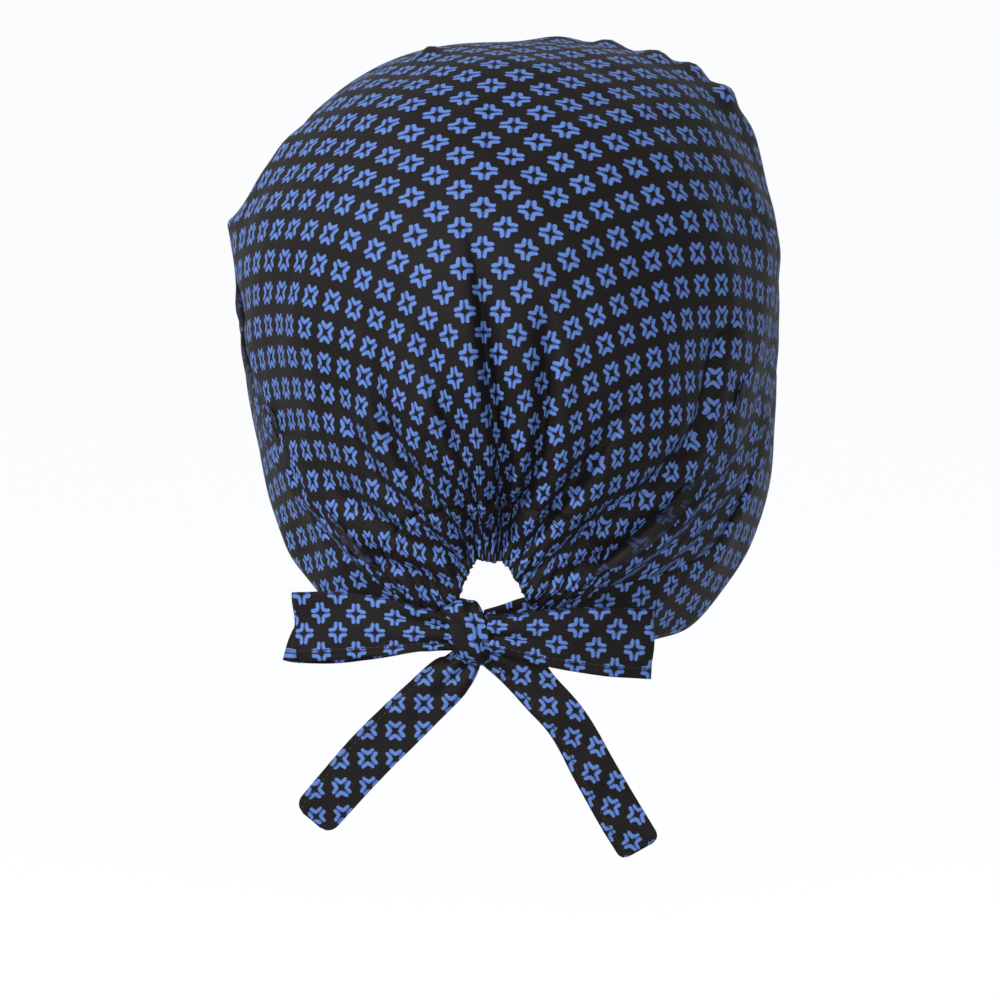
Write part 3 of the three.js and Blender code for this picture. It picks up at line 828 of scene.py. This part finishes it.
# %% Strap helper
def strap_grid(stations, steps=120, across=28, pleats=0, pleat_depth=0.0, pleat_fade=0.3, cloth_width=None,
               seed=1, crease=0.25, both_ends=False, round_end=0.0):
    """Places and cut-cloth places of a strap through stations (x, y, z, width, lean), in mm."""
    stations = np.asarray(stations, float)
    keys = np.arange(len(stations), dtype=float)
    at = np.linspace(0, keys[-1], steps * 4 + 1)
    middle = np.stack([smooth(keys, stations[:, i], at) for i in range(3)], axis=-1)
    length = np.concatenate([[0], np.cumsum(np.linalg.norm(np.diff(middle, axis=0), axis=1))])
    even = np.interp(np.linspace(0, length[-1], steps + 1), length, at)
    middle = np.stack([smooth(keys, stations[:, i], even) for i in range(3)], axis=-1)
    width = smooth(keys, stations[:, 3], even)
    lean = np.radians(smooth(keys, stations[:, 4], even))
    along = np.gradient(middle, axis=0)
    along /= np.linalg.norm(along, axis=1, keepdims=True)
    over = np.stack([np.sin(lean), np.zeros_like(lean), np.cos(lean)], axis=-1)
    face = np.cross(along, over)
    face /= np.linalg.norm(face, axis=1, keepdims=True)
    over = np.cross(face, along)
    v = np.linspace(1, -1, across + 1)
    flat_width = cloth_width or width.max()
    u = np.linspace(0, length[-1], steps + 1)
    share = u / length[-1]
    # A rounded end narrows over its last stretch, so the corners are turned in.
    to_end = (length[-1] - u)[None, :]
    corner = 4.2 * round_end
    arc = np.sqrt(np.clip(1 - (1 - to_end / max(corner, 1e-6)) ** 2, 0, 1))
    inset = np.where(to_end < corner, 1 - arc, 0)
    half = width[None, :] / 2 - inset * corner * 0.95
    places = middle[None] + over[None] * (v[:, None] * half)[..., None]
    pinch = bell(share / pleat_fade)[None, :]
    if both_ends:
        pinch = pinch + bell((1 - share) / pleat_fade)[None, :]
    lift = pleat_depth * pinch * np.cos(math.pi * (pleats * v[:, None] + 0.35)) if pleats else 0
    lift = lift + crease * soft_noise(places, 16, seed)
    places = places + face[None] * np.asarray(lift)[..., None]
    flat = np.stack([np.broadcast_to(u[None, :], places.shape[:2]),
                     np.broadcast_to(v[:, None] * flat_width / 2, places.shape[:2])], axis=-1)
    return places, flat, length[-1]


def strap_piece(name, stations, offset=(0.0, 0.0), thickness=TIE_THICK, stitched=None, **shape):
    places, flat, length = strap_grid(stations, **shape)
    sheet = cloth_grid(name, places, flat + np.asarray(offset))
    dress(sheet, FACE, FACE)
    thicken(sheet, thickness, offset=0.0)
    if stitched is not None:
        row = int(stitched * (places.shape[0] - 1))
        over, under = row_of(places, row, thickness / 2), row_of(places, row, -thickness / 2)
        stitch_row(name.replace("cloth", "stitches"), [over, (under[0], -under[1])])
    return sheet, length


KNOT_LOW, KNOT_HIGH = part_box("knot")
knot_middle = (KNOT_LOW + KNOT_HIGH) / 2 / MM
knot_half = (KNOT_HIGH - KNOT_LOW) / 2 / MM
print("knot at", [round(v, 1) for v in knot_middle], "mm")

# %% Bow loops
LOOP_ROWS = np.array([
    # share of the way out, distance off the middle line, width: the strap leaves the knot and comes back to it
    (-0.08, -1.0, 9.5),
    (0.12, -2.0, 12.5),
    (0.40, -2.6, 18.2),
    (0.70, -2.0, 21.4),
    (0.93, -0.9, 22.2),
    (0.995, 0.1, 22.3),
    (0.93, 1.2, 22.2),
    (0.70, 2.8, 21.4),
    (0.40, 4.0, 18.2),
    (0.12, 3.0, 12.5),
    (-0.08, 1.4, 9.5),
])
LOOP_WIDTH = 22.3    # mm
TIE_WIDTH = 15.8


def bow_loop(name, sign, length, drop, lift, lean, away, back_drop, seed, rows_from):
    start = knot_middle[0] + sign * (knot_half[0] - 0.5)
    out = LOOP_ROWS[:, 0]
    near_head = ramp(0.0, 0.8, -LOOP_ROWS[:, 1] / 3)
    stations = np.stack([
        start + sign * length * out,
        knot_middle[1] + 1.8 + LOOP_ROWS[:, 1] - away * np.clip(out, 0, 1) ** 1.5,
        knot_middle[2] + drop * out + 4 * lift * out * (1 - out) - back_drop * near_head * out,
        LOOP_ROWS[:, 2],
        lean * out,
    ], axis=-1)
    return strap_piece(name, stations, steps=200, across=26, pleats=2, pleat_depth=0.9, pleat_fade=0.16,
                       cloth_width=LOOP_WIDTH, seed=seed, offset=rows_from, both_ends=True, stitched=0.88)


loop_left, loop_left_length = bow_loop("bow_loop_left_cloth", 1, 50, 0, 1.6, -4, 12.5, 2.6, 21, (5.0, 2.2))
loop_right, loop_right_length = bow_loop(
    "bow_loop_right_cloth", -1, 51, -4.5, 0, -3, 11.5, 0.3, 22, (2.0, 2.0))
print("loop straps", round(loop_left_length), round(loop_right_length), "mm long")

# %% Tails
TAIL_LEFT = (
    # x, y, z, width, lean of the width from upright
    (5.0, 90.6, -191.5, 8.0, 44),
    (8.6, 91.2, -196.4, 11.5, 44),
    (13, 91.2, -200.4, 14.6, 45),
    (25.8, 89, -212.9, 15.8, 45),
    (38.8, 86.5, -226, 15.8, 45),
    (56.2, 83.3, -245.9, 14.8, 42),
)
TAIL_RIGHT = (
    (3.5, 90.6, -188.0, 9.0, -12),
    (-3.4, 92.0, -190.6, 12.0, -22),
    (-10.4, 92.2, -195.2, 14.2, -38),
    (-17.6, 91.4, -203.7, 13.6, -48),
    (-25.7, 90, -213.0, 13.4, -53),
    (-33.6, 88, -227.2, 13.8, -60),
    (-40.4, 86, -239.8, 14.2, -61),
    (-49.0, 84, -254.2, 14.4, -60),
)
tail_left, tail_left_length = strap_piece(
    "tail_left_cloth", TAIL_LEFT, steps=120, across=30, pleats=2, pleat_depth=0.9, pleat_fade=0.2,
    cloth_width=TIE_WIDTH, seed=31, crease=0.3, round_end=1.0, offset=(4.0, 0.3), stitched=0.16)
tail_right, tail_right_length = strap_piece(
    "tail_right_cloth", TAIL_RIGHT, steps=130, across=30, pleats=2, pleat_depth=0.9, pleat_fade=0.24,
    cloth_width=TIE_WIDTH, seed=32, crease=0.3, round_end=0.7, offset=(7.0, 1.2), stitched=0.84)

# %% Leads from the band to the knot
def tie_lead(name, sign, height, width, middle_height, middle_width, seed):
    end = dome(step_at(height), sign * (BAND_END + 1.5)) + np.array([0, BAND_OUT, 0])
    inner_x = knot_middle[0] + sign * (knot_half[0] - 2.5)
    stations = [
        (end[0] + sign * 2.0, end[1] - 0.6, height, width, 0),
        ((end[0] * 2 + inner_x) / 3, end[1] + 1.2, middle_height, middle_width, 0),
        ((end[0] + inner_x * 2) / 3, end[1] + 2.4, (middle_height + knot_middle[2]) / 2,
         middle_width - 1.5, 0),
        (inner_x, knot_middle[1] - 2.4, knot_middle[2] + 1, 11.5, 0),
    ]
    return strap_piece(name, stations, steps=60, across=26, pleats=3, pleat_depth=0.6, pleat_fade=0.9,
                       cloth_width=width, seed=seed, offset=(7.0, 2.0))


lead_left, lead_left_length = tie_lead("tie_lead_left_cloth", 1, -183.6, 15.4, -184.0, 14.4, 41)
lead_right, lead_right_length = tie_lead("tie_lead_right_cloth", -1, -182.4, 19.0, -182.0, 17.0, 42)

# %% Knot
KNOT_ROWS = 44
KNOT_AROUND = 96


def knot_cloth():
    """The strap goes once round the middle of the bow: a closed band with its long edges turned in."""
    around = np.linspace(0, 2 * math.pi, KNOT_AROUND + 1)
    v = np.linspace(1, -1, KNOT_ROWS + 1)[:, None]
    bulge = (1 - np.abs(v) ** 3.0 * 0.34)
    squared = lambda value: np.sign(value) * np.abs(value) ** 0.8
    lean = 2.4 * np.sin(around)[None, :]
    x = knot_middle[0] - v * (knot_half[0] - 0.4) * (1 + 0.06 * np.sin(2 * around + 1))[None, :] + lean
    y = knot_middle[1] + squared(np.cos(around))[None, :] * (knot_half[1] - 0.6) * bulge
    z = knot_middle[2] + squared(np.sin(around))[None, :] * (knot_half[2] - 0.5) * bulge
    places = np.stack(np.broadcast_arrays(x, y, z), axis=-1)
    wrap = 0.45 * np.sin(7 * v + 1.5 * np.sin(around)[None, :] + 0.6)
    outward = np.stack(np.broadcast_arrays(0 * x, np.cos(around)[None, :], np.sin(around)[None, :]), axis=-1)
    places = places + outward * (wrap + 0.3 * soft_noise(places, 9, 51))[..., None]
    girth = 2 * math.pi * math.sqrt((knot_half[1] ** 2 + knot_half[2] ** 2) / 2)
    flat = np.stack([np.broadcast_to(around[None, :] / (2 * math.pi) * girth, places.shape[:2]),
                     np.broadcast_to(v * 8.0, places.shape[:2])], axis=-1)
    return places, flat, girth


knot_places, knot_flat, knot_girth = knot_cloth()
knot = cloth_grid("knot_cloth", knot_places, knot_flat + np.array([4.0, 3.0]))
dress(knot, FACE, FACE)
weld(knot)
thicken(knot, KNOT_THICK, offset=-1.0)

# %% [markdown]
# ## Attach the pieces and light the studio

# %% Attach every piece and hide the frame's part
PIECES = (
    (crown, "crown_panel", tuple(crown_cut * MM), "gathered", crown_area * MM * MM),
    (casing, "nape_casing", casing_cut, "gathered", None),
    (band, "front_band", tuple(band_cut * MM), "stretched", band_area * MM * MM),
    (loop_left, "bow_loop_left", (LOOP_WIDTH * MM, loop_left_length * MM), "folded", None),
    (loop_right, "bow_loop_right", (LOOP_WIDTH * MM, loop_right_length * MM), "folded", None),
    (tail_left, "tail_left", (TIE_WIDTH * MM, tail_left_length * MM), "hung", None),
    (tail_right, "tail_right", (TIE_WIDTH * MM, tail_right_length * MM), "hung", None),
    (lead_left, "tie_lead_left", (0.0154, lead_left_length * MM), "stretched", None),
    (lead_right, "tie_lead_right", (0.019, lead_right_length * MM), "stretched", None),
    (knot, "knot", (0.016, knot_girth * MM), "folded", None),
)
for piece, node, flat_size, held, area in PIECES:
    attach(piece, "root")
    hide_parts(node)

# %% [markdown]
# ## Studio
# A black cloth shows its folds by small differences of light, so one small lamp stands high on the left and
# rakes across them. A larger one beside the viewer keeps the print readable. The surroundings are even and
# almost white, as in a product studio, and the floor is a plain white sheet far below the cap.

# %% Studio
def soft_lamp(name, place, size, power, cone):
    """A round soft lamp with a hood, so that it lights the cap and not the whole floor."""
    light = bpy.data.lights.new(name, "SPOT")
    light.shadow_soft_size = size
    light.energy = power
    light.spot_size = math.radians(cone)
    light.spot_blend = 0.6
    made = bpy.data.objects.new(name, light)
    made.location = Vector(place)
    made.rotation_euler = (target - made.location).to_track_quat("-Z", "Y").to_euler()
    scene.collection.objects.link(made)


soft_lamp("key, high on the left", (1.6, 1.4, 1.25), 0.2, 430, 22)
soft_lamp("front, beside the viewer", (-0.15, 2.3, 0.15), 0.35, 260, 22)
world = bpy.data.worlds.new("pale studio")
world.use_nodes = True
world.node_tree.nodes["Background"].inputs[0].default_value = linear("#fbfcfe")
world.node_tree.nodes["Background"].inputs[1].default_value = 1.0
scene.world = world
scene.view_settings.view_transform = "Standard"

bpy.ops.object.select_all(action="DESELECT")
bpy.ops.mesh.primitive_plane_add(size=60, location=(0, 0, -0.75))
floor = bpy.context.object
floor.name = "floor"
floor_material = bpy.data.materials.new("white studio floor")
floor_material.use_nodes = True
floor_material.node_tree.nodes["Principled BSDF"].inputs["Base Color"].default_value = linear("#ffffff")
floor_material.node_tree.nodes["Principled BSDF"].inputs["Roughness"].default_value = 0.9
floor_material.node_tree.nodes["Principled BSDF"].inputs["Specular IOR Level"].default_value = 0.0
floor.data.materials.append(floor_material)
